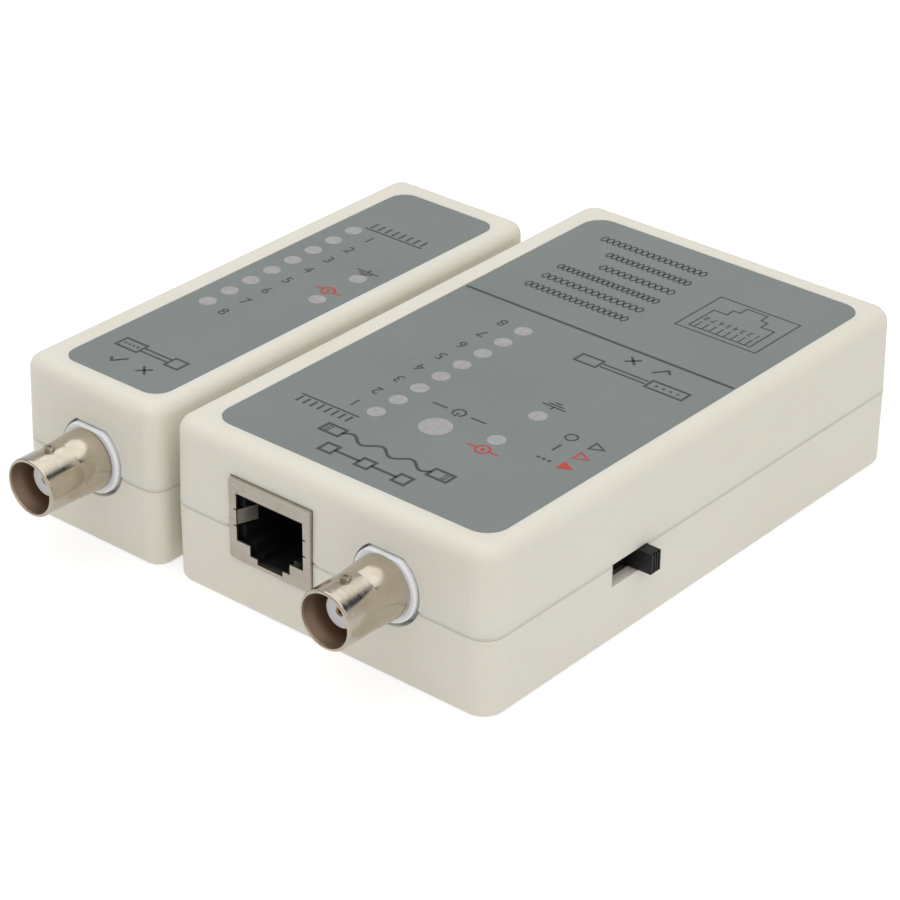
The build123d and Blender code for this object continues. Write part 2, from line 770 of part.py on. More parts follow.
def bnc_insulator():
    """White dielectric sleeve on the barrel's axis."""
    with BuildPart() as sleeve:
        front = -bnc_proud + bnc_dielectric_setback
        with BuildSketch(end_wall_plane(0, front, bnc_axis)):
            Circle(bnc_dielectric_radius)
            Circle(bnc_contact_radius + 0.05, mode=Mode.SUBTRACT)
        extrude(amount=-(bnc_inner_end - front))
        fillet(sleeve.faces().sort_by(Axis.Y)[0].outer_wire().edges(), radius=0.3)
    return sleeve


def bnc_contact():
    """Gilt centre socket with its bore, turned down to the board behind the block."""
    with BuildPart() as contact:
        front = -bnc_proud + bnc_dielectric_setback + 0.3
        with BuildSketch(end_wall_plane(0, front, bnc_axis)):
            Circle(bnc_contact_radius)
        extrude(amount=-(bnc_contact_tail - front))
        with BuildSketch(end_wall_plane(0, front, bnc_axis)):
            Circle(bnc_contact_bore)
        extrude(amount=-6.0, mode=Mode.SUBTRACT)
        with BuildSketch(Plane((0, bnc_contact_tail, 0))):
            Circle(bnc_contact_radius)
        extrude(amount=bnc_axis)
        with Locations((0, bnc_contact_tail, bnc_axis)):
            Sphere(bnc_contact_radius)
    return contact


# ================================================================ cases
main_label = (main_label_width, main_label_length, main_label_radius, main_label_x, main_label_y)
remote_label = (remote_label_width, remote_label_length, remote_label_radius, remote_label_x, remote_label_y)
main_windows = [
    (window_radius, main_pin_spots + main_status_spots),
    (power_window_radius, [power_spot]),
]
remote_windows = [(window_radius, remote_pin_spots + remote_status_spots)]
main_lamp_holes = [
    (led_radius + led_hole_gap, main_pin_spots + main_status_spots),
    (power_led_radius + led_hole_gap, [power_spot]),
]
remote_lamp_holes = [(led_radius + led_hole_gap, remote_pin_spots + remote_status_spots)]

main_jack_cut = jack_cut(main_jack_x, main_face, main_board_top)
remote_jack_cut = jack_cut(remote_jack_x, remote_back_face, remote_board_top)
main_cuts = [main_jack_cut, bnc_cut(main_bnc_x, main_face, main_board_top)]
remote_cuts = [remote_jack_cut, bnc_cut(remote_bnc_x, remote_front_face, remote_board_top)]
main_lower_cuts = [
    main_jack_cut,
    bnc_cut(main_bnc_x, main_face, main_board_top, bnc_lower_hole_radius),
    switch_cut(),
]
remote_lower_cuts = [
    remote_jack_cut,
    bnc_cut(remote_bnc_x, remote_front_face, remote_board_top, bnc_lower_hole_radius),
]

jack_half_width = jack_width / 2 + jack_hole_gap
main_reliefs = [
    seam_relief(main_jack_x, main_face, jack_half_width),
    seam_relief(main_bnc_x, main_face, bnc_half_width(main_board_top)),
]
remote_reliefs = [
    seam_relief(remote_bnc_x, remote_front_face, bnc_half_width(remote_board_top)),
    seam_relief(remote_jack_x, remote_back_face, jack_half_width),
]

main_upper_shell = upper_shell(main_width, main_length, main_corner_radius, main_edge_radius,
                               main_label, main_lamp_holes, main_cuts + main_reliefs,
                               main_case_screw_spots)
save(main_upper_shell, "main_upper_shell")

plain_lower_shell = lower_shell(main_width, main_length, main_corner_radius,
                                main_lower_cuts, main_case_screw_spots,
                                main_board_screw_spots, main_board_top)
with BuildPart() as main_lower_shell:
    add(plain_lower_shell.part)
    # partition between the board and the battery bay, notched for the battery wires
    with BuildSketch(Plane((0, bay_wall_y, floor_thickness))):
        Rectangle(main_width - 2 * wall, bay_wall_thickness)
    extrude(amount=parting_height - floor_thickness - 1)
    with BuildSketch(Plane((wire_lane, bay_wall_y, parting_height))):
        Rectangle(wire_notch_width, 3 * bay_wall_thickness)
    extrude(amount=-wire_notch_depth, mode=Mode.SUBTRACT)
    # doorway in the floor, open through the back wall
    with BuildSketch():
        with Locations((0, (door_front - door_gap + main_length) / 2)):
            Rectangle(door_width + 2 * door_gap, main_length - door_front + door_gap)
    extrude(amount=floor_thickness, mode=Mode.SUBTRACT)
    # grooves that the door's tongues run in
    with BuildSketch(Plane.XY.offset(door_tongue_bottom - groove_gap)):
        with Locations((0, (door_front - door_gap + main_length) / 2)):
            Rectangle(door_width + 2 * (door_tongue + door_gap), main_length - door_front + door_gap)
    extrude(amount=door_tongue_top - door_tongue_bottom + 2 * groove_gap, mode=Mode.SUBTRACT)
save(main_lower_shell, "main_lower_shell")

with BuildPart() as battery_door:
    door_back = main_length / 2 - door_back_gap
    with BuildSketch(Plane((0, (door_front + door_back) / 2, door_bottom))):
        Rectangle(door_width, door_back - door_front)
    extrude(amount=door_thickness)
    chamfer(battery_door.faces().sort_by(Axis.Z)[0].edges().sort_by(Axis.Y)[-1], length=0.7)
    with BuildSketch(Plane((0, (door_front + door_tongue_end) / 2, door_tongue_bottom))):
        Rectangle(door_width + 2 * door_tongue, door_tongue_end - door_front)
    extrude(amount=door_tongue_top - door_tongue_bottom)
    # grooves for the finger near the back edge
    grip_rows = [(0, grip_first_y + grip_pitch * i) for i in range(grip_count)]
    with BuildSketch(Plane.XY.offset(door_bottom)):
        with Locations(grip_rows):
            SlotOverall(grip_length, grip_width)
    extrude(amount=grip_depth, mode=Mode.SUBTRACT)
save(battery_door, "battery_door")

remote_upper_shell = upper_shell(remote_width, remote_length, remote_corner_radius, remote_edge_radius,
                                 remote_label, remote_lamp_holes, remote_cuts + remote_reliefs,
                                 remote_case_screw_spots)
save(remote_upper_shell, "remote_upper_shell", remote_place)
remote_lower_shell = lower_shell(remote_width, remote_length, remote_corner_radius, remote_lower_cuts,
                                 remote_case_screw_spots, remote_board_screw_spots, remote_board_top)
save(remote_lower_shell, "remote_lower_shell", remote_place)

save(label_film(main_label, main_windows), "main_label")
save(label_film(remote_label, remote_windows), "remote_label", remote_place)
save(window_discs(main_windows), "main_lamp_windows")
save(window_discs(remote_windows), "remote_lamp_windows", remote_place)
save(case_screws(main_case_screw_spots), "main_case_screws")
save(case_screws(remote_case_screw_spots), "remote_case_screws", remote_place)
save(board_screws(main_board_screw_spots, main_board_top), "main_board_screws")
save(board_screws(remote_board_screw_spots, remote_board_top), "remote_board_screws", remote_place)

# ================================================================ boards and lamps
main_small_lamps = main_pin_spots + main_status_spots
remote_small_lamps = remote_pin_spots + remote_status_spots
main_board_outline = (main_board_width, main_board_front, main_board_back)
remote_board_outline = (remote_board_width, -remote_board_length / 2, remote_board_length / 2)
main_front_posts = [spot for spot in main_case_screw_spots if spot[1] < 0]

save(circuit_board(main_board_outline, main_front_posts, main_board_screw_spots,
                   lead_spots(main_small_lamps + [power_spot]), main_board_top), "main_circuit_board")
save(circuit_board(remote_board_outline, remote_case_screw_spots, remote_board_screw_spots,
                   lead_spots(remote_small_lamps), remote_board_top), "remote_circuit_board", remote_place)

save(lamps(main_pin_spots, led_radius, led_flange_radius), "main_pin_lamps")
save(lamps(main_status_spots, led_radius, led_flange_radius), "main_status_lamps")
save(lamps([power_spot], power_led_radius, power_led_flange_radius), "power_lamp")
save(lamp_leads(main_small_lamps + [power_spot], main_board_top), "main_lamp_leads")
save(lamps(remote_pin_spots, led_radius, led_flange_radius), "remote_pin_lamps", remote_place)
save(lamps(remote_status_spots, led_radius, led_flange_radius), "remote_status_lamps", remote_place)
save(lamp_leads(remote_small_lamps, remote_board_top), "remote_lamp_leads", remote_place)

main_resistor_spots = [(-19.0, -27.5 + led_pitch * i) for i in range(7)]
remote_resistor_spots = [(5.5, -12.0), (5.5, -6.5), (5.5, 4.5)]
save(resistors(main_resistor_spots, main_board_top), "main_resistors")
save(resistors(remote_resistor_spots, remote_board_top), "remote_resistors", remote_place)

counter_spot = (2.4, -10.0)
timer_spot = (16.0, -4.0)
save(chip_body(*counter_spot, 19.3), "counter_chip")
save(chip_body(*timer_spot, 9.8), "timer_chip")
save(chip_pins([(*counter_spot, 16), (*timer_spot, 8)]), "chip_pins")

capacitor_radius = 3.15
capacitor_height = 11.0
capacitor_spot = (13.5, 4.2)
with BuildPart() as capacitor:
    with BuildSketch(Plane((*capacitor_spot, main_board_top))):
        Circle(capacitor_radius)
    extrude(amount=capacitor_height)
    fillet(capacitor.edges().filter_by(GeomType.CIRCLE), radius=0.4)
save(capacitor, "capacitor")

# ================================================================ sockets
main_jack_place = Location((main_jack_x, main_face, main_board_top))
main_bnc_place = Location((main_bnc_x, main_face, main_board_top))
remote_jack_place = remote_place * Location((remote_jack_x, remote_back_face, remote_board_top), (0, 0, 180))
remote_bnc_place = remote_place * Location((remote_bnc_x, remote_front_face, remote_board_top))

for unit, jack_place, bnc_place, root_gap in (
    ("main", main_jack_place, main_bnc_place, main_root_gap),
    ("remote", remote_jack_place, remote_bnc_place, remote_root_gap),
):
    save(jack_shield(), f"{unit}_jack_shield", jack_place)
    save(jack_springs(), f"{unit}_jack_springs", jack_place)
    save(jack_housing(), f"{unit}_jack_housing", jack_place)
    save(jack_contacts(), f"{unit}_jack_contacts", jack_place)
    save(bnc_body(), f"{unit}_bnc_body", bnc_place)
    save(bnc_barrel(root_gap), f"{unit}_bnc_barrel", bnc_place)
    save(bnc_insulator(), f"{unit}_bnc_insulator", bnc_place)
    save(bnc_contact(), f"{unit}_bnc_contact", bnc_place)

# ================================================================ slide switch
knob_back = slot_back - knob_end_gap
knob_y = knob_back - knob_length / 2
knob_z = (knob_bottom + knob_top) / 2
knob_outer = main_width / 2 + knob_proud
switch_y = knob_y - knob_travel / 2
switch_inner = switch_outer - switch_depth
switch_z = (switch_bottom + switch_top) / 2
slider_outer = switch_outer - switch_sheet - 0.1

with BuildPart() as switch_knob:
    with BuildSketch(Plane((slider_outer - slider_depth, knob_y, knob_z), x_dir=(0, 1, 0), z_dir=(1, 0, 0))):
        Rectangle(slider_length, slider_height)
    extrude(amount=slider_depth)
    with BuildSketch(Plane((slider_outer, knob_y, knob_z), x_dir=(0, 1, 0), z_dir=(1, 0, 0))):
        Rectangle(knob_length, knob_top - knob_bottom)
    extrude(amount=knob_outer - slider_outer)
    chamfer(switch_knob.faces().sort_by(Axis.X)[-1].edges(), length=0.12)
    groove_pitch = knob_length / knob_ribs
    grooves = [((i - (knob_ribs - 2) / 2) * groove_pitch, 0) for i in range(knob_ribs - 1)]
    with BuildSketch(Plane((knob_outer, knob_y, knob_z), x_dir=(0, 1, 0), z_dir=(1, 0, 0))):
        with Locations(grooves):
            Rectangle(knob_groove_width, knob_top - knob_bottom)
    extrude(amount=-knob_groove_depth, mode=Mode.SUBTRACT)
save(switch_knob, "switch_knob")

frame_inside_length = switch_length - 2 * switch_sheet
frame_inside_height = switch_top - switch_bottom - 2 * switch_sheet
with BuildPart() as switch_frame:
    with BuildSketch(Plane((switch_inner, switch_y, switch_z), x_dir=(0, 1, 0), z_dir=(1, 0, 0))):
        Rectangle(switch_length, switch_top - switch_bottom)
    extrude(amount=switch_depth)
    fillet(switch_frame.faces().sort_by(Axis.X)[-1].edges(), radius=0.25)
    with BuildSketch(Plane((switch_inner, switch_y, switch_z), x_dir=(0, 1, 0), z_dir=(1, 0, 0))):
        Rectangle(frame_inside_length, frame_inside_height)
    extrude(amount=switch_depth - switch_sheet, mode=Mode.SUBTRACT)
    with BuildSketch(Plane((switch_inner, switch_y, knob_z), x_dir=(0, 1, 0), z_dir=(1, 0, 0))):
        Rectangle(knob_length + knob_travel + 0.6, knob_top - knob_bottom + 0.3)
    extrude(amount=2 * switch_depth, mode=Mode.SUBTRACT)
save(switch_frame, "switch_frame")

with BuildPart() as switch_base:
    with BuildSketch(Plane((switch_inner + 0.1, switch_y, switch_z), x_dir=(0, 1, 0), z_dir=(1, 0, 0))):
        Rectangle(frame_inside_length - 0.1, frame_inside_height - 0.1)
    extrude(amount=base_thickness)
save(switch_base, "switch_base")

with BuildPart() as switch_terminals:
    with BuildSketch(Plane((switch_inner - terminal_sheet / 2, switch_y, main_board_top))):
        with GridLocations(0, terminal_pitch, 1, terminal_count):
            Rectangle(terminal_sheet, terminal_width)
    extrude(amount=terminal_rise)
save(switch_terminals, "switch_terminals")

with BuildPart() as switch_wiper:
    wiper_outer = slider_outer - slider_depth
    wiper_inner = wiper_outer - wiper_sheet
    with BuildSketch(Plane((wiper_inner, knob_y, knob_z), x_dir=(0, 1, 0), z_dir=(1, 0, 0))):
        Rectangle(wiper_length, wiper_height)
    extrude(amount=wiper_sheet)
    foot_plane = Plane((wiper_inner - wiper_foot + 0.1, knob_y, knob_z), x_dir=(0, 1, 0), z_dir=(1, 0, 0))
    with BuildSketch(foot_plane):
        with Locations((-wiper_foot_spread, 0), (wiper_foot_spread, 0)):
            Rectangle(0.7, wiper_height - 0.4)
    extrude(amount=wiper_foot)
save(switch_wiper, "switch_wiper")

# ================================================================ battery
battery_end = battery_x + battery_length
battery_mid_y = battery_y + battery_width / 2
battery_mid_z = battery_z + battery_height / 2
terminal_offsets = [(-terminal_spacing / 2, 0), (terminal_spacing / 2, 0)]

with BuildPart() as battery:
    with BuildSketch(Plane((battery_x, battery_mid_y, battery_mid_z), x_dir=(0, 1, 0), z_dir=(1, 0, 0))):
        RectangleRounded(battery_width, battery_height, battery_corner)
    extrude(amount=battery_length)
    fillet(battery.faces().filter_by(Axis.X).edges(), radius=0.5)
save(battery, "battery")

with BuildPart() as battery_terminals:
    with BuildSketch(Plane((battery_end, battery_mid_y, battery_mid_z), x_dir=(0, 1, 0), z_dir=(1, 0, 0))):
        with Locations(terminal_offsets):
            Circle(terminal_radius)
    extrude(amount=terminal_height)
    fillet(battery_terminals.faces().sort_by(Axis.X)[-2:].edges(), radius=0.4)
save(battery_terminals, "battery_terminals")

with BuildPart() as battery_snap:
    snap_start = battery_end + 0.1
    with BuildSketch(Plane((snap_start, battery_mid_y, battery_mid_z), x_dir=(0, 1, 0), z_dir=(1, 0, 0))):
        RectangleRounded(snap_width, snap_height, 3.0)
    extrude(amount=snap_thickness)
    fillet(battery_snap.faces().sort_by(Axis.X)[-1].edges(), radius=0.6)
    with BuildSketch(Plane((snap_start, battery_mid_y, battery_mid_z), x_dir=(0, 1, 0), z_dir=(1, 0, 0))):
        with Locations(terminal_offsets):
            Circle(terminal_radius + 0.1)
    extrude(amount=terminal_height, mode=Mode.SUBTRACT)
save(battery_snap, "battery_snap")

snap_end = snap_start + snap_thickness
for colour, level, start_y, landing_y in (("black", 9.8, 24.4, 1.5), ("red", 13.0, 26.4, 4.5)):
    with BuildPart() as battery_wire:
        with BuildLine() as route:
            FilletPolyline(
                (snap_end, start_y, level),
                (wire_lane, start_y, level),
                (wire_lane, landing_y + 6.0, level),
                (wire_landing, landing_y, level),
                (wire_landing, landing_y, main_board_top),
                radius=wire_bend_radius,
            )
        with BuildSketch(Plane((snap_end, start_y, level), x_dir=(0, 1, 0), z_dir=(1, 0, 0))):
            Circle(wire_radius)
        sweep(path=route.line)
    save(battery_wire, f"battery_wire_{colour}")
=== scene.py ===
"""Network cable tester: materials, printed marks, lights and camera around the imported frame."""

import json
import math

import bmesh
import bpy
from mathutils import Matrix, Vector


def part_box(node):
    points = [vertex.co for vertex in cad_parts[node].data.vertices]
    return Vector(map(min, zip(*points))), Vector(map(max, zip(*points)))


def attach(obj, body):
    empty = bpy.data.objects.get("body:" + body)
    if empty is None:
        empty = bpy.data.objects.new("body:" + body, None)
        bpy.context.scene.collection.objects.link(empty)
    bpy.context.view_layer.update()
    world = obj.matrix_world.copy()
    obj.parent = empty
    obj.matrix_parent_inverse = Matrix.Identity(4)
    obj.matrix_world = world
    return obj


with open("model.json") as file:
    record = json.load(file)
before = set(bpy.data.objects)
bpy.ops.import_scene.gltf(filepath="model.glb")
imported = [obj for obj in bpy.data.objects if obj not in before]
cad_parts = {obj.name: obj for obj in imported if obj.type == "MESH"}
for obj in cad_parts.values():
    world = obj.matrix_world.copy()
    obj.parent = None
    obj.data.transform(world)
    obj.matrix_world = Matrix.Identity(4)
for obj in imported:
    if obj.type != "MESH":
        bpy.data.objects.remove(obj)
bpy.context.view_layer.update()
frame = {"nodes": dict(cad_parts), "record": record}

MM = 0.001
scene = bpy.context.scene
nodes = frame["nodes"]


# --------------------------------------------------------------------------------------
# Measures read from the frame, in metres
# --------------------------------------------------------------------------------------

def low(node):
    """Lowest corner of a node's box."""
    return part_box(node)[0]


def high(node):
    """Highest corner of a node's box."""
    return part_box(node)[1]


def middle(node):
    lowest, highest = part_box(node)
    return (lowest + highest) / 2


def lamp_row(node, count=8):
    """Place of the row's frontmost lamp and the pitch of the row, in millimetres."""
    lowest, highest = low(node) / MM, high(node) / MM
    flange_radius = (highest.x - lowest.x) / 2
    pitch = (highest.y - lowest.y - 2 * flange_radius) / (count - 1)
    return middle(node).x / MM, lowest.y + flange_radius, pitch


# Painted shade: the ivory plastic's brownish seam line is centred at this height.
seam_shade_height = low("main_upper_shell").z     # lowest point of the upper shell, 0.25 mm under the seam
main_film_top = high("main_label").z
remote_film_top = high("remote_label").z
bore_edge = 4.22 * MM       # radius where a barrel's brown bore ends
rim_edge = 4.34 * MM        # radius where its plated rim begins


# --------------------------------------------------------------------------------------
# Small node-tree helpers
# --------------------------------------------------------------------------------------

class Shader:
    """A Principled material with short calls for the nodes that feed it."""

    def __init__(self, name, **sockets):
        self.material = bpy.data.materials.new(name)
        self.material.use_nodes = True
        self.tree = self.material.node_tree
        self.tree.nodes.clear()
        self.output = self.tree.nodes.new("ShaderNodeOutputMaterial")
        self.bsdf = self.tree.nodes.new("ShaderNodeBsdfPrincipled")
        self.join(self.bsdf.outputs[0], self.output.inputs["Surface"])
        for socket, value in sockets.items():
            self.bsdf.inputs[socket.replace("_", " ")].default_value = value
        self.place = self.tree.nodes.new("ShaderNodeTexCoord").outputs["Object"]

    def node(self, kind, **settings):
        """A new node, named without the ShaderNode that starts every kind."""
        made = self.tree.nodes.new("ShaderNode" + kind)
        for name, value in settings.items():
            setattr(made, name, value)
        return made

    def join(self, start, end):
        self.tree.links.new(start, end)

    def feed(self, socket, value):
        """Links an output, or sets a plain value."""
        if isinstance(value, bpy.types.NodeSocket):
            self.join(value, socket)
        else:
            socket.default_value = value

    def math(self, operation, a, b=0.0, c=0.0):
        made = self.node("Math", operation=operation)
        for socket, value in zip(made.inputs, (a, b, c)):
            self.feed(socket, value)
        return made.outputs[0]

    def stretched(self, x, y, z):
        """The object's coordinates, squeezed or stretched along each axis."""
        made = self.node("Mapping")
        made.inputs["Scale"].default_value = (x, y, z)
        self.join(self.place, made.inputs["Vector"])
        return made.outputs[0]

    def noise(self, per_metre, detail=3.0, rough=0.55, where=None, distortion=0.0):
        """Cloudy noise, with this many features in a metre."""
        made = self.node("TexNoise")
        made.inputs["Scale"].default_value = per_metre
        made.inputs["Detail"].default_value = detail
        made.inputs["Roughness"].default_value = rough
        made.inputs["Distortion"].default_value = distortion
        self.join(where or self.place, made.inputs["Vector"])
        return made.outputs["Fac"]

    def cells(self, per_metre):
        """Distance to the nearest of many scattered points."""
        made = self.node("TexVoronoi", feature="F1")
        made.inputs["Scale"].default_value = per_metre
        self.join(self.place, made.inputs["Vector"])
        return made.outputs["Distance"]

    def ramp(self, value, start, end, low_value=0.0, high_value=1.0):
        """Maps start..end onto low_value..high_value and holds it outside."""
        made = self.node("MapRange", clamp=True)
        self.join(value, made.inputs["Value"])
        for socket, number in zip(("From Min", "From Max", "To Min", "To Max"),
                                  (start, end, low_value, high_value)):
            made.inputs[socket].default_value = number
        return made.outputs["Result"]

    def mix(self, share, first, second):
        """A colour between two, given as linear triples or outputs."""
        made = self.node("Mix", data_type="RGBA")
        self.feed(made.inputs[0], share)
        for socket, colour in ((made.inputs[6], first), (made.inputs[7], second)):
            self.feed(socket, colour if isinstance(colour, bpy.types.NodeSocket) else (*colour, 1))
        return made.outputs[2]

    def colour(self, value):
        self.feed(self.bsdf.inputs["Base Color"], value)

    def roughness(self, value):
        self.feed(self.bsdf.inputs["Roughness"], value)

    def bump(self, *layers):
        """Bump layers given as (height output, strength, depth in mm), one on another."""
        normal = None
        for height, strength, depth in layers:
            made = self.node("Bump")
            made.inputs["Strength"].default_value = strength
            made.inputs["Distance"].default_value = depth * MM
            self.join(height, made.inputs["Height"])
            if normal is not None:
                self.join(normal, made.inputs["Normal"])
            normal = made.outputs["Normal"]
        self.join(normal, self.bsdf.inputs["Normal"])

    def axis(self, index):
        """One coordinate of the place on the object, in metres."""
        made = self.node("SeparateXYZ")
        self.join(self.place, made.inputs[0])
        return made.outputs[index]


def srgb(red, green, blue):
    """Linear colour of an sRGB one given from 0 to 255."""
    def linear(channel):
        share = channel / 255
        return share / 12.92 if share <= 0.04045 else ((share + 0.055) / 1.055) ** 2.4
    return tuple(linear(channel) for channel in (red, green, blue))


# --------------------------------------------------------------------------------------
# Materials
# --------------------------------------------------------------------------------------

def ivory_plastic():
    """Spark-textured ABS: fine grain, faint cloudiness, and painted shade as a brownish line just under the
    seam.
    """
    s = Shader("ivory_plastic", IOR=1.46, Specular_IOR_Level=0.42, Subsurface_Weight=0.3,
               Subsurface_Scale=2.5 * MM, Subsurface_Radius=(1.0, 0.6, 0.35))
    clouds = s.noise(45, 3)
    grain = s.noise(2600, 4, 0.6)
    pits = s.cells(1900)
    body = s.mix(s.ramp(clouds, 0.3, 0.7), srgb(235, 230, 217), srgb(239, 234, 223))
    speckled = s.mix(s.ramp(grain, 0.35, 0.75, 0, 0.16), body, srgb(216, 209, 194))
    # Painted shade: a brownish line along the seam, strongest within 0.04 mm of this height and gone by 0.16
    # mm.
    from_seam_shade = s.math("ABSOLUTE", s.math("SUBTRACT", s.axis(2), seam_shade_height))
    seam_shade = s.ramp(from_seam_shade, 0.04 * MM, 0.16 * MM, 0.6, 0)
    s.colour(s.mix(seam_shade, speckled, srgb(176, 156, 124)))
    s.roughness(s.ramp(s.noise(700, 4), 0.3, 0.7, 0.38, 0.5))
    s.bump((grain, 0.35, 0.03), (pits, 0.18, 0.02), (s.noise(160, 2), 0.12, 0.05))
    return s.material


def film():
    """Grey velvet-finish polyester film with a fine grain and a few light scuffs."""
    s = Shader("label_film", IOR=1.5, Specular_IOR_Level=0.4)
    grain = s.noise(3800, 3, 0.6)
    clouds = s.noise(38, 2)
    scuffs = s.noise(420, 6, 0.7, s.stretched(1, 0.12, 1), 1.4)
    base = s.mix(s.ramp(clouds, 0.3, 0.7), srgb(124, 131, 129), srgb(130, 137, 135))
    base = s.mix(s.ramp(grain, 0.3, 0.72, 0, 0.22), base, srgb(146, 152, 150))
    s.colour(s.mix(s.ramp(scuffs, 0.66, 0.8, 0, 0.12), base, srgb(158, 164, 162)))
    s.roughness(s.ramp(s.noise(900, 3), 0.3, 0.7, 0.46, 0.6))
    s.bump((grain, 0.3, 0.018), (s.noise(240, 3), 0.1, 0.03))
    return s.material


def lamp_window():
    """Milky film window with a soft mottle from the lamp behind it."""
    s = Shader("lamp_window", IOR=1.5, Subsurface_Weight=0.25, Subsurface_Scale=0.4 * MM,
               Coat_Weight=0.2, Coat_Roughness=0.2)
    mottle = s.noise(900, 3)
    s.colour(s.mix(s.ramp(mottle, 0.35, 0.65), srgb(163, 162, 163), srgb(175, 173, 175)))
    s.roughness(s.ramp(s.noise(2500, 2), 0.3, 0.7, 0.3, 0.42))
    s.bump((s.noise(3200, 3), 0.15, 0.012))
    return s.material


def tinplate():
    """Stamped tin-plated steel: faint rolling lines, small stains, soft gloss."""
    s = Shader("tinplate", Metallic=1.0)
    lines = s.noise(1500, 4, 0.6, s.stretched(0.06, 1, 1))
    stains = s.noise(420, 5, 0.65)
    base = s.mix(s.ramp(lines, 0.35, 0.68), srgb(188, 180, 167), srgb(198, 191, 180))
    s.colour(s.mix(s.ramp(stains, 0.58, 0.74, 0, 0.45), base, srgb(168, 156, 138)))
    s.roughness(s.ramp(stains, 0.35, 0.72, 0.34, 0.5))
    s.bump((lines, 0.12, 0.012), (stains, 0.12, 0.02))
    return s.material


def nickel(name, barrel=None):
    """Bright nickel plate on turned brass. A barrel's bore is dull, brown and dark."""
    s = Shader(name, Metallic=1.0)
    turning = s.noise(2600, 3, 0.5, s.stretched(0.05, 1, 0.05))
    wear = s.noise(320, 5, 0.65)
    base = s.mix(s.ramp(wear, 0.4, 0.68), srgb(204, 195, 180), srgb(190, 180, 164))
    rough = s.ramp(turning, 0.3, 0.7, 0.1, 0.2)
    if barrel:
        centre = middle(barrel)
        across = s.math("POWER", s.math("SUBTRACT", s.axis(0), centre.x), 2)
        upward = s.math("POWER", s.math("SUBTRACT", s.axis(2), centre.z), 2)
        radius = s.math("SQRT", s.math("ADD", across, upward))
        inside = s.ramp(radius, bore_edge, rim_edge, 1, 0)
        base = s.mix(inside, base, srgb(196, 172, 150))
        rough = s.math("MAXIMUM", rough, s.math("MULTIPLY", inside, 0.45))
    s.colour(base)
    s.roughness(rough)
    s.bump((turning, 0.1, 0.01), (wear, 0.06, 0.02))
    return s.material


def gilt():
    """Thin gold flash over a darker base metal."""
    s = Shader("gilt", Metallic=1.0)
    wear = s.noise(1500, 4)
    s.colour(s.mix(s.ramp(wear, 0.35, 0.7), srgb(214, 168, 92), srgb(170, 122, 58)))
    s.roughness(s.ramp(wear, 0.3, 0.7, 0.2, 0.36))
    s.bump((s.noise(3500, 2), 0.1, 0.01))
    return s.material


def white_plastic():
    """Cool white glass-filled moulding with slight translucency."""
    s = Shader("white_plastic", IOR=1.5, Subsurface_Weight=0.2, Subsurface_Scale=0.8 * MM)
    clouds = s.noise(500, 3)
    s.colour(s.mix(s.ramp(clouds, 0.3, 0.7), srgb(245, 247, 253), srgb(249, 251, 255)))
    s.roughness(s.ramp(s.noise(1800, 3), 0.3, 0.7, 0.34, 0.48))
    s.bump((s.noise(2800, 3), 0.15, 0.015))
    return s.material


def black_plastic():
    """Black moulding with a fine grain and a little dust."""
    s = Shader("black_plastic", IOR=1.48, Specular_IOR_Level=0.4)
    grain = s.noise(2600, 4)
    dust = s.noise(1200, 6, 0.75)
    base = s.mix(s.ramp(grain, 0.3, 0.7), srgb(20, 20, 21), srgb(31, 31, 32))
    s.colour(s.mix(s.ramp(dust, 0.66, 0.8, 0, 0.18), base, srgb(88, 84, 78)))
    s.roughness(s.ramp(grain, 0.3, 0.7, 0.38, 0.52))
    s.bump((grain, 0.25, 0.02))
    return s.material


def circuit_board():
    """Green solder mask over copper tracks that run in a fine irregular grid."""
    s = Shader("circuit_board", IOR=1.5, Coat_Weight=0.4, Coat_Roughness=0.15)
    tracks = s.node("TexBrick")
    tracks.inputs["Scale"].default_value = 240
    tracks.inputs["Mortar Size"].default_value = 0.035
    s.join(s.place, tracks.inputs["Vector"])
    weave = s.noise(2200, 2)
    mask = s.mix(s.ramp(weave, 0.3, 0.7), srgb(20, 84, 50), srgb(26, 98, 58))
    s.colour(s.mix(tracks.outputs["Fac"], mask, srgb(52, 128, 78)))
    s.roughness(s.ramp(weave, 0.3, 0.7, 0.28, 0.4))
    s.bump((tracks.outputs["Fac"], 0.3, 0.03), (weave, 0.1, 0.01))
    return s.material


def epoxy_lamp(name, dark, light):
    """Clear coloured lamp resin, unlit."""
    s = Shader(name, IOR=1.54, Transmission_Weight=0.35)
    depth = s.noise(600, 2)
    s.colour(s.mix(s.ramp(depth, 0.3, 0.7), dark, light))
    s.roughness(s.ramp(s.noise(1500, 2), 0.3, 0.7, 0.1, 0.18))
    s.bump((s.noise(1800, 2), 0.05, 0.01))
    return s.material


def plain_metal(name, first, second, rough_low, rough_high):
    """Bare or plated metal with two shades of wear."""
    s = Shader(name, Metallic=1.0)
    wear = s.noise(900, 5, 0.6)
    s.colour(s.mix(s.ramp(wear, 0.35, 0.68), first, second))
    s.roughness(s.ramp(wear, 0.3, 0.7, rough_low, rough_high))
    s.bump((s.noise(2400, 3), 0.12, 0.012))
    return s.material


def plain_skin(name, first, second, rough_low, rough_high, gloss=0.0):
    """Painted, moulded or sleeved skin: two close shades, fine bump, optional clear coat."""
    s = Shader(name, IOR=1.48, Coat_Weight=gloss, Coat_Roughness=0.18)
    shade = s.noise(700, 4, 0.6)
    s.colour(s.mix(s.ramp(shade, 0.3, 0.7), first, second))
    s.roughness(s.ramp(s.noise(1600, 3), 0.3, 0.7, rough_low, rough_high))
    s.bump((s.noise(2600, 3), 0.15, 0.015))
    return s.material


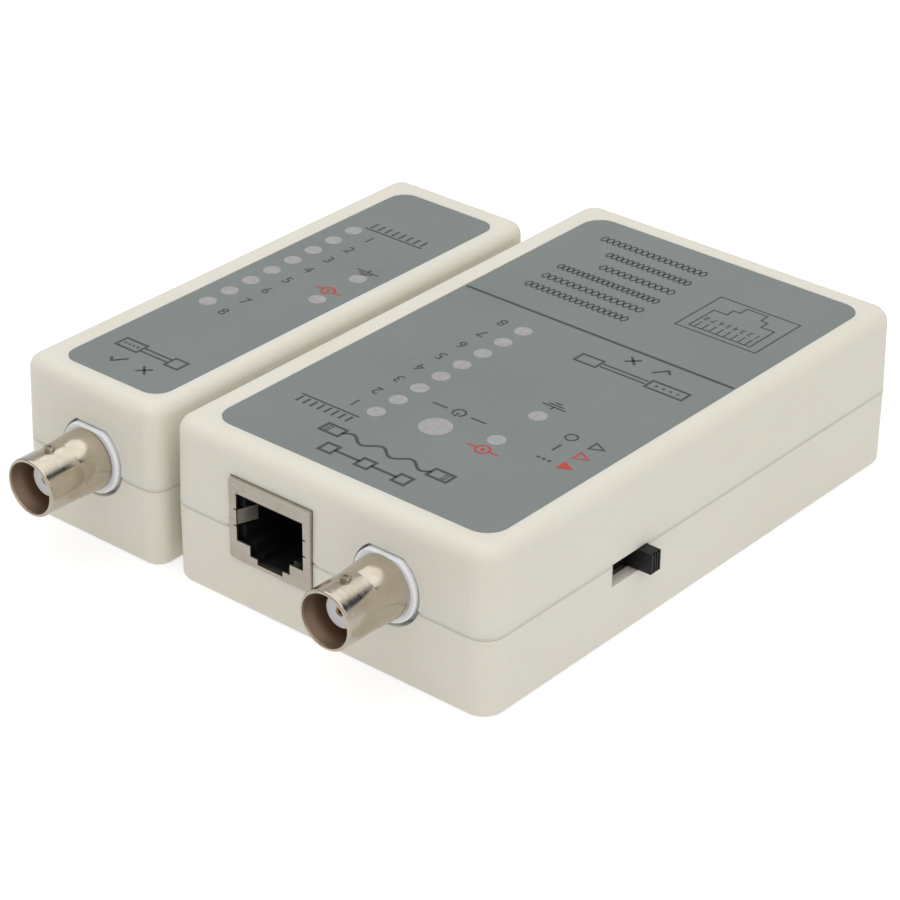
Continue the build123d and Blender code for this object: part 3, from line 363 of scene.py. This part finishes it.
def laminate():
    """Brown paper laminate: layered edge lines and fibre flecks."""
    s = Shader("laminate_brown", IOR=1.5)
    layers = s.noise(3200, 2, 0.5, s.stretched(0.08, 0.08, 1))
    fibres = s.noise(1400, 5, 0.7, s.stretched(1, 0.3, 1))
    base = s.mix(s.ramp(layers, 0.35, 0.65), srgb(92, 56, 32), srgb(122, 80, 48))
    s.colour(s.mix(s.ramp(fibres, 0.6, 0.75, 0, 0.4), base, srgb(150, 108, 70)))
    s.roughness(s.ramp(fibres, 0.3, 0.7, 0.45, 0.6))
    s.bump((layers, 0.2, 0.015))
    return s.material


def ink(name, first, second):
    """Screen-printed ink with slightly uneven cover."""
    s = Shader(name, IOR=1.48, Specular_IOR_Level=0.4)
    cover = s.noise(1800, 4, 0.65)
    s.colour(s.mix(s.ramp(cover, 0.35, 0.75), first, second))
    s.roughness(s.ramp(cover, 0.3, 0.7, 0.42, 0.56))
    s.bump((s.noise(3600, 3), 0.2, 0.012))
    return s.material


finishes = {
    "ivory_plastic": ivory_plastic(),
    "label_film": film(),
    "lamp_window": lamp_window(),
    "tinplate": tinplate(),
    "nickel_plate": nickel("nickel_plate"),
    "gilt": gilt(),
    "white_plastic": white_plastic(),
    "black_plastic": black_plastic(),
    "circuit_board": circuit_board(),
    "lamp_green": epoxy_lamp("lamp_green", srgb(70, 150, 78), srgb(108, 186, 110)),
    "lamp_red": epoxy_lamp("lamp_red", srgb(160, 44, 40), srgb(200, 70, 60)),
    "tinned_wire": plain_metal("tinned_wire", srgb(206, 204, 198), srgb(178, 176, 170), 0.2, 0.36),
    "screw_steel": plain_metal("screw_steel", srgb(150, 150, 152), srgb(116, 114, 112), 0.26, 0.42),
    "resistor_body": plain_skin("resistor_body", srgb(196, 168, 122), srgb(212, 186, 140), 0.4, 0.5),
    "capacitor_sleeve": plain_skin("capacitor_sleeve", srgb(30, 44, 92), srgb(38, 54, 108), 0.25, 0.35, 0.4),
    "laminate_brown": laminate(),
    "battery_jacket": plain_skin("battery_jacket", srgb(44, 46, 50), srgb(58, 60, 64), 0.3, 0.42, 0.3),
    "wire_red": plain_skin("wire_red", srgb(168, 34, 30), srgb(188, 46, 38), 0.35, 0.45),
    "wire_black": plain_skin("wire_black", srgb(24, 24, 25), srgb(34, 34, 35), 0.35, 0.45),
}
barrels = ("main_bnc_barrel", "remote_bnc_barrel")
barrel_finish = {name: nickel(name + "_nickel", name) for name in barrels}
dark_ink = ink("dark_ink", srgb(62, 66, 66), srgb(78, 83, 83))
red_ink = ink("red_ink", srgb(186, 62, 52), srgb(196, 78, 66))


def finish_frame():
    """Gives every CAD node the finish of its material slot."""
    for part in frame["record"]["subparts"]:
        name = part["node"]
        finish = barrel_finish.get(name, finishes[part["material_slot"]])
        for slot in nodes[name].material_slots:
            slot.material = finish


# --------------------------------------------------------------------------------------
# Printed marks
# --------------------------------------------------------------------------------------

class Print:
    """Flat marks on a film, drawn in millimetres and then given the thickness of the ink."""

    ink_depth = 0.025 * MM
    sharpest_mitre = 0.35   # keeps the corner of a sharp bend from running far out
    cap_height = 0.73       # of a numeral, as a share of the type size

    def __init__(self, centre=(0, 0), turn=0.0):
        self.mesh = bmesh.new()
        self.set_place(centre, turn)

    def set_place(self, centre, turn):
        """Later marks are drawn around this centre, turned by this many degrees."""
        turned = Matrix.Rotation(math.radians(turn), 4, "Z")
        self.matrix = Matrix.Translation((centre[0], centre[1], 0)) @ turned

    def polygon(self, points):
        """A filled outline."""
        corners = [self.mesh.verts.new(self.matrix @ Vector((x, y, 0))) for x, y in points]
        self.mesh.faces.new(corners)

    def line(self, points, width, closed=False):
        """A mitred stroke through the points."""
        spots = [Vector(p) for p in points]
        count = len(spots)
        left, right = [], []
        for i, spot in enumerate(spots):
            before = spots[i - 1] if (i > 0 or closed) else None
            after = spots[(i + 1) % count] if (i < count - 1 or closed) else None
            into = (spot - before).normalized() if before is not None else None
            out = (after - spot).normalized() if after is not None else None
            along = ((into or out) + (out or into)).normalized()
            normal = Vector((-along.y, along.x))
            reach = width / 2 / max(self.sharpest_mitre, along.dot(out or into))
            left.append(spot + normal * reach)
            right.append(spot - normal * reach)
        lefts = [self.mesh.verts.new(self.matrix @ Vector((p.x, p.y, 0))) for p in left]
        rights = [self.mesh.verts.new(self.matrix @ Vector((p.x, p.y, 0))) for p in right]
        for i in range(count if closed else count - 1):
            j = (i + 1) % count
            self.mesh.faces.new((rights[i], rights[j], lefts[j], lefts[i]))

    def arc(self, centre, radius, width, start=0.0, end=360.0, steps=40):
        """A round stroke between two angles, or a full ring."""
        closed = end - start >= 360
        share = range(steps) if closed else range(steps + 1)
        angles = [math.radians(start + (end - start) * i / steps) for i in share]
        points = [(centre[0] + radius * math.cos(a), centre[1] + radius * math.sin(a)) for a in angles]
        self.line(points, width, closed)

    def disc(self, centre, radius, steps=32):
        """A filled round spot."""
        x, y = centre
        angles = [2 * math.pi * i / steps for i in range(steps)]
        self.polygon([(x + radius * math.cos(a), y + radius * math.sin(a)) for a in angles])

    def box(self, centre, width, height, stroke):
        """A rectangle drawn as an outline."""
        x, y = centre
        w, h = width / 2, height / 2
        self.line([(x - w, y - h), (x + w, y - h), (x + w, y + h), (x - w, y + h)], stroke, True)

    def digit(self, number, centre, height):
        """A numeral whose cap height is the given height."""
        curve = bpy.data.curves.new("numeral", "FONT")
        curve.body = str(number)
        curve.size = height / self.cap_height
        curve.align_x = "CENTER"
        curve.resolution_u = 4
        thing = bpy.data.objects.new("numeral", curve)
        scene.collection.objects.link(thing)
        bpy.context.view_layer.update()
        ready = thing.evaluated_get(bpy.context.evaluated_depsgraph_get())
        flat = bpy.data.meshes.new_from_object(ready)
        flat.transform(self.matrix @ Matrix.Translation((centre[0], centre[1] - height / 2, 0)))
        self.mesh.from_mesh(flat)
        bpy.data.objects.remove(thing)
        bpy.data.curves.remove(curve)
        bpy.data.meshes.remove(flat)

    def finish(self, name, height, body, slot_name, material):
        """Scales to metres, thickens, and puts the marks on the film."""
        faces = list(self.mesh.faces)
        bmesh.ops.scale(self.mesh, vec=(MM, MM, 0), verts=self.mesh.verts)
        for face in faces:
            face.normal_update()
            if face.normal.z < 0:
                face.normal_flip()
        grown = bmesh.ops.extrude_face_region(self.mesh, geom=faces, use_keep_orig=True)
        tops = [g for g in grown["geom"] if isinstance(g, bmesh.types.BMVert)]
        bmesh.ops.translate(self.mesh, vec=(0, 0, self.ink_depth), verts=tops)
        bmesh.ops.recalc_face_normals(self.mesh, faces=self.mesh.faces)
        data = bpy.data.meshes.new(name)
        self.mesh.to_mesh(data)
        self.mesh.free()
        piece = bpy.data.objects.new(name, data)
        piece.location.z = height
        scene.collection.objects.link(piece)
        data.materials.append(material)
        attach(piece, body)
        return piece


# widths of the printed strokes and height of the lamp numerals, in millimetres
heavy_stroke = 0.5
firm_stroke = 0.45
case_stroke = 0.42
link_stroke = 0.36
stroke = 0.34
light_stroke = 0.3
thin_stroke = 0.26
fine_stroke = 0.24
numeral_height = 2.2
contact_count = 8


def network_mark(p, width, height):
    """Three stations on one line."""
    side = height * 0.8
    for x in (-width / 2 + side / 2, 0, width / 2 - side / 2):
        p.box((x, 0), side, side, heavy_stroke)
    gap = width / 2 - side * 1.5
    for x in (-side / 2 - gap / 2, side / 2 + gap / 2):
        p.line([(x - gap / 2, 0), (x + gap / 2, 0)], heavy_stroke)


def cable_mark(p, width, height):
    """A cord with a plug on each end."""
    plug = height * 1.25
    for side in (-1, 1):
        x = side * (width / 2 - plug / 2)
        p.box((x, 0), plug, height * 0.78, heavy_stroke)
        for k in range(3):
            offset = (k - 1) * height * 0.2
            p.line([(x + side * plug * 0.1, offset), (x + side * plug * 0.36, offset)], thin_stroke)
    span = width - 2 * plug
    swing = 0.28 * height
    bends = 3
    steps = 16 * bends
    shares = [i / steps for i in range(steps + 1)]
    waves = [(span * (a - 0.5), swing * math.sin(2 * math.pi * bends * a)) for a in shares]
    p.line(waves, heavy_stroke)


def pin_row_mark(p, width, height):
    """Eight contacts on a common bar."""
    p.line([(-width / 2, -height / 2), (width / 2, -height / 2)], stroke)
    for i in range(contact_count):
        x = -width / 2 + width * (i + 0.5) / contact_count
        p.line([(x, -height / 2 + 0.5), (x, height / 2)], case_stroke)


def power_mark(p, width, height):
    """An open ring with a bar, between two short dashes."""
    p.arc((0, 0), height * 0.45, stroke, 120, 420)
    p.line([(0, height * 0.02), (0, height * 0.55)], stroke)
    for side in (-1, 1):
        p.line([(side * width * 0.22, 0), (side * width / 2, 0)], stroke)


def coax_mark(p, width, height):
    """A round socket seen from the front, with its cable each side."""
    p.arc((0, 0), height / 2, stroke)
    p.disc((0, 0), height * 0.17)
    for side in (-1, 1):
        p.line([(side * (height / 2 + 0.1), 0), (side * width / 2, 0)], stroke)


def ground_mark(p, width, height):
    """The earth sign: a stem and three shorter and shorter bars."""
    p.line([(0, height * 0.12), (0, height / 2)], stroke)
    for k, share in enumerate((0.5, 0.32, 0.15)):
        y = height * 0.12 - k * height * 0.27
        p.line([(-width * share, y), (width * share, y)], light_stroke)


def pair_mark(p, right, width, height, turns):
    """A twisted pair of the given length that ends at right."""
    steps = 16 * turns
    for phase in (0, math.pi):
        wave = []
        for i in range(steps + 1):
            share = i / steps
            y = height / 2 * math.sin(2 * math.pi * turns * share + phase)
            wave.append((right - width * share, y))
        p.line(wave, light_stroke)


def tester_mark(p, width, height):
    """A large case and a small case with a link between them."""
    p.box((-width / 2 + width * 0.17, 0), width * 0.34, height, case_stroke)
    p.box((width / 2 - width * 0.1, 0), width * 0.2, height, case_stroke)
    for y in (height * 0.2, -height * 0.2):
        p.line([(-width * 0.14, y), (width * 0.28, y)], link_stroke)
    for i in range(4):
        p.disc((-width / 2 + width * (0.07 + 0.066 * i), 0), 0.26)


def result_mark(p, width, height):
    """A tick and a cross: what the tester tells."""
    x = -width * 0.28
    h = height * 0.42
    tick = [(x - height * 0.5, 0), (x - height * 0.12, -h), (x + height * 0.6, height * 0.5)]
    p.line(tick, firm_stroke)
    x = width * 0.28
    p.line([(x - h, -h), (x + h, h)], firm_stroke)
    p.line([(x - h, h), (x + h, -h)], firm_stroke)


def jack_mark(p):
    """The front of the modular socket, with its eight contacts and their numbers."""
    p.box((0, 0), 15.4, 12.5, thin_stroke)
    body_half, step_half, key_half = 5.85, 3.3, 2.0
    contact_side, shelf, step_end, key_end = 5.05, -1.65, -3.5, -5.4
    steps = [
        (body_half, contact_side),
        (body_half, shelf),
        (step_half, shelf),
        (step_half, step_end),
        (key_half, step_end),
        (key_half, key_end),
    ]
    outline = steps + [(-x, y) for x, y in reversed(steps)]
    p.line(outline, thin_stroke, True)
    contact_pitch = 1.39
    for i in range(contact_count):
        x = (i - (contact_count - 1) / 2) * contact_pitch
        p.line([(x, contact_side - 0.1), (x, contact_side - 2.2)], fine_stroke)
        p.digit(i + 1, (x, 1.6), 1.35)


def triangle(p, outlined):
    """A pointer toward the switch, one for each of its positions."""
    half = 1.25
    corners = [(-half, -half), (-half, half), (half, 0)]
    if outlined:
        p.line([(x * 0.85, y * 0.85) for x, y in corners], light_stroke, True)
    else:
        p.polygon(list(reversed(corners)))


def off_mark(p):
    """A ring beside the pointer of the off position."""
    p.arc((0, 0), 0.95, 0.32)


def on_mark(p):
    """A bar beside the pointer of the on position."""
    p.line([(0, -1.1), (0, 1.1)], link_stroke)


def slow_mark(p):
    """Three dots beside the pointer of the slow position."""
    for offset in (-1.0, 0, 1.0):
        p.disc((offset, 0), 0.32)


def put(p, marks, turn):
    """Draws marks given as (what, centre on the film in mm, its own sizes)."""
    for draw, centre, *sizes in marks:
        p.set_place(centre, turn)
        draw(p, *sizes)


# Centres are in millimetres in the frame; the numbers after them are width and height.
main_dark_marks = (
    (network_mark, (0.65, -42.8), 16.5, 2.9),
    (cable_mark, (0.75, -38.3), 24.5, 2.9),
    (pin_row_mark, (-15.1, -34.1), 11.4, 2.3),
    (power_mark, (1.05, -22.1), 10.4, 2.3),
    (ground_mark, (10.6, -11.1), 4.4, 2.4),
    (tester_mark, (13.5, 4.05), 20.5, 2.4),
    (result_mark, (13.5, 8.35), 10.5, 2.3),
)
switch_marks = (
    (off_mark, (18.4, -17.0)),
    (on_mark, (18.6, -20.8)),
    (slow_mark, (19.3, -24.7)),
)
main_red_marks = ((coax_mark, (10.8, -28.4), 5.8, 2.3),)
remote_dark_marks = (
    (pin_row_mark, (-46.3, 18.4), 12.4, 2.4),
    (ground_mark, (-40.9, 4.4), 4.4, 2.2),
    (tester_mark, (-47.1, -38.7), 13.3, 2.6),
    (result_mark, (-47.0, -43.4), 10.5, 2.3),
)
remote_red_marks = ((coax_mark, (-41.3, -4.5), 5.4, 2.2),)

# Rows of twisted pairs behind the dividing line: y, length and number of turns.
pair_rows = ((18.9, 20.5, 9), (23.0, 20.3, 8), (27.2, 20.4, 10), (31.4, 15.0, 6), (35.8, 17.0, 8),
             (40.2, 21.4, 9))
pair_row_edge = 1.3
pair_height = 1.7
divider_y = 11.42
divider_tilt = -0.38
divider_width = 0.55
divider_margin = 0.3
jack_picture_centre = (15.5, 29.15)
pointer_x = 23.4
off_y, on_y, slow_y = -17.0, -20.7, -24.5
numeral_offset = 4.3        # lamp to numeral, across the row
remote_numeral_offset = 4.5
remote_numeral_drop = 1.0


def main_prints():
    """Marks on the main tester's film. They read from the back, so most are turned half round."""
    dark, red = Print(), Print()
    row_x, first_y, pitch = lamp_row("main_pin_lamps")
    for i in range(contact_count):
        dark.set_place((row_x - numeral_offset, first_y + i * pitch), 180)
        dark.digit(i + 1, (0, 0), numeral_height)
    half_width = (high("main_label").x - low("main_label").x) / MM / 2
    dark.set_place((middle("main_label").x / MM, divider_y), divider_tilt)
    dark.line([(-half_width + divider_margin, 0), (half_width - divider_margin, 0)], divider_width)
    put(dark, main_dark_marks, 180)
    for y, width, turns in pair_rows:
        dark.set_place((pair_row_edge, y), 0)
        pair_mark(dark, 0, width, pair_height, turns)
    put(dark, ((jack_mark, jack_picture_centre),), 180)
    put(dark, ((triangle, (pointer_x, off_y), True),), 0)
    put(dark, switch_marks, 180)
    put(red, ((triangle, (pointer_x, on_y), True), (triangle, (pointer_x, slow_y), False)), 0)
    put(red, main_red_marks, 180)
    dark.finish("main_print_dark", main_film_top, "main_unit", "label_film", dark_ink)
    red.finish("main_print_red", main_film_top, "main_unit", "label_film", red_ink)


def remote_prints():
    """Marks on the remote's film. They read from the front, lamp 1 at the back."""
    dark, red = Print(), Print()
    row_x, first_y, pitch = lamp_row("remote_pin_lamps")
    for i in range(contact_count):
        y = first_y + (contact_count - 1 - i) * pitch - remote_numeral_drop
        dark.set_place((row_x + remote_numeral_offset, y), 0)
        dark.digit(i + 1, (0, 0), numeral_height)
    put(dark, remote_dark_marks, 0)
    put(red, remote_red_marks, 0)
    dark.finish("remote_print_dark", remote_film_top, "remote_unit", "label_film", dark_ink)
    red.finish("remote_print_red", remote_film_top, "remote_unit", "label_film", red_ink)


# --------------------------------------------------------------------------------------
# Stage, light and camera
# --------------------------------------------------------------------------------------

floor_reach = 4.0
floor_glow = 0.32           # light that the floor gives off beside what it reflects
camera_glow = 0.3           # added for the camera alone, so that the floor meets a white background


def floor():
    """A wide table top, glowing a little more to the camera so that it ends in plain white."""
    data = bpy.data.meshes.new("floor")
    made = bmesh.new()
    bmesh.ops.create_grid(made, x_segments=8, y_segments=8, size=floor_reach)
    made.to_mesh(data)
    made.free()
    piece = bpy.data.objects.new("floor", data)
    scene.collection.objects.link(piece)
    s = Shader("floor_white", Specular_IOR_Level=0.1)
    s.colour(s.mix(s.ramp(s.noise(3, 2), 0.3, 0.7), (0.54, 0.54, 0.54), (0.56, 0.56, 0.56)))
    s.roughness(0.8)
    s.bsdf.inputs["Emission Color"].default_value = (1, 1, 1, 1)
    seen = s.node("LightPath").outputs["Is Camera Ray"]
    s.join(s.math("MULTIPLY_ADD", seen, camera_glow, floor_glow), s.bsdf.inputs["Emission Strength"])
    data.materials.append(s.material)


# The gap is a dark stretch behind the table, there only for the barrels to mirror as a streak.
# Heights are those of a direction: 0 at the horizon, 1 overhead.
gap_azimuth = math.radians(66)      # from +X toward +Y
gap_low_edge = (0.36, 0.52)
gap_high_edge = (0.8, 0.7)
gap_side_edge = (0.45, 0.7)         # cosine of the turn away from the gap's azimuth
gap_light = 0.08
horizon_edge = (0.15, 0.45)
horizon_light = 0.68
sky_light = 0.5


def surroundings():
    """Plain white to the camera. To all else a dimmer warm white room with one dark stretch."""
    world = bpy.data.worlds.new("studio")
    scene.world = world
    world.use_nodes = True
    tree = world.node_tree
    tree.nodes.clear()
    output = tree.nodes.new("ShaderNodeOutputWorld")

    def background(strength, colour):
        made = tree.nodes.new("ShaderNodeBackground")
        made.inputs["Color"].default_value = (*colour, 1)
        made.inputs["Strength"].default_value = strength
        return made.outputs[0]

    def step(value, start, end):
        made = tree.nodes.new("ShaderNodeMapRange")
        made.interpolation_type = "SMOOTHSTEP"
        tree.links.new(value, made.inputs["Value"])
        made.inputs["From Min"].default_value = start
        made.inputs["From Max"].default_value = end
        return made.outputs["Result"]

    def product(first, second):
        made = tree.nodes.new("ShaderNodeMath")
        made.operation = "MULTIPLY"
        tree.links.new(first, made.inputs[0])
        tree.links.new(second, made.inputs[1])
        return made.outputs[0]

    def blend(share, first, second):
        made = tree.nodes.new("ShaderNodeMixShader")
        tree.links.new(share, made.inputs[0])
        tree.links.new(first, made.inputs[1])
        tree.links.new(second, made.inputs[2])
        return made.outputs[0]

    direction = tree.nodes.new("ShaderNodeTexCoord").outputs["Generated"]
    parts = tree.nodes.new("ShaderNodeSeparateXYZ")
    tree.links.new(direction, parts.inputs[0])
    gap_way = tree.nodes.new("ShaderNodeVectorMath")
    gap_way.operation = "DOT_PRODUCT"
    gap_way.inputs[1].default_value = (math.cos(gap_azimuth), math.sin(gap_azimuth), 0)
    tree.links.new(direction, gap_way.inputs[0])
    height = parts.outputs[2]
    between_edges = product(step(height, *gap_low_edge), step(height, *gap_high_edge))
    in_gap = product(between_edges, step(gap_way.outputs["Value"], *gap_side_edge))
    near_horizon = background(horizon_light, (1.0, 0.988, 0.97))
    higher_up = background(sky_light, (1.0, 0.992, 0.975))
    open_room = blend(step(height, *horizon_edge), near_horizon, higher_up)
    lit = blend(in_gap, open_room, background(gap_light, (0.7, 0.82, 1.0)))
    seen = tree.nodes.new("ShaderNodeLightPath").outputs["Is Camera Ray"]
    tree.links.new(blend(seen, lit, background(1.0, (1.0, 1.0, 1.0))), output.inputs[0])


def area_light(name, place, target, width, height, watts):
    """A rectangular lamp turned toward its target."""
    data = bpy.data.lights.new(name, "AREA")
    data.shape = "RECTANGLE"
    data.size = width
    data.size_y = height
    data.energy = watts
    thing = bpy.data.objects.new(name, data)
    thing.location = place
    thing.rotation_euler = (Vector(target) - Vector(place)).to_track_quat("-Z", "Y").to_euler()
    scene.collection.objects.link(thing)


def camera():
    """A long lens, front right and above. Its numbers are a pinhole fit to the case's edges."""
    azimuth, elevation, roll = math.radians(39.886), math.radians(29.330), math.radians(0.581)
    distance, target = 0.506157, Vector((-0.024262, 0.006103, 0.0))
    back = Vector((math.sin(azimuth) * math.cos(elevation),
                   -math.cos(azimuth) * math.cos(elevation),
                   math.sin(elevation)))
    data = bpy.data.cameras.new("camera")
    data.lens = 122.947
    data.sensor_width = 36
    data.clip_start = 0.01
    data.clip_end = 50
    thing = bpy.data.objects.new("camera", data)
    look = back.to_track_quat("Z", "Y").to_matrix().to_4x4()
    thing.matrix_world = Matrix.Translation(target + back * distance) @ look @ Matrix.Rotation(roll, 4, "Z")
    scene.collection.objects.link(thing)
    scene.camera = thing


finish_frame()
main_prints()
remote_prints()
floor()
surroundings()
area_light("overhead", (0, 0, 1.1), (-0.02, 0, 0), width=1.8, height=1.8, watts=9.3)
area_light("right_side", (1.0, -0.1, 0.7), (0, 0, 0.01), width=0.8, height=0.6, watts=1.1)
camera()
scene.view_settings.view_transform = "Standard"
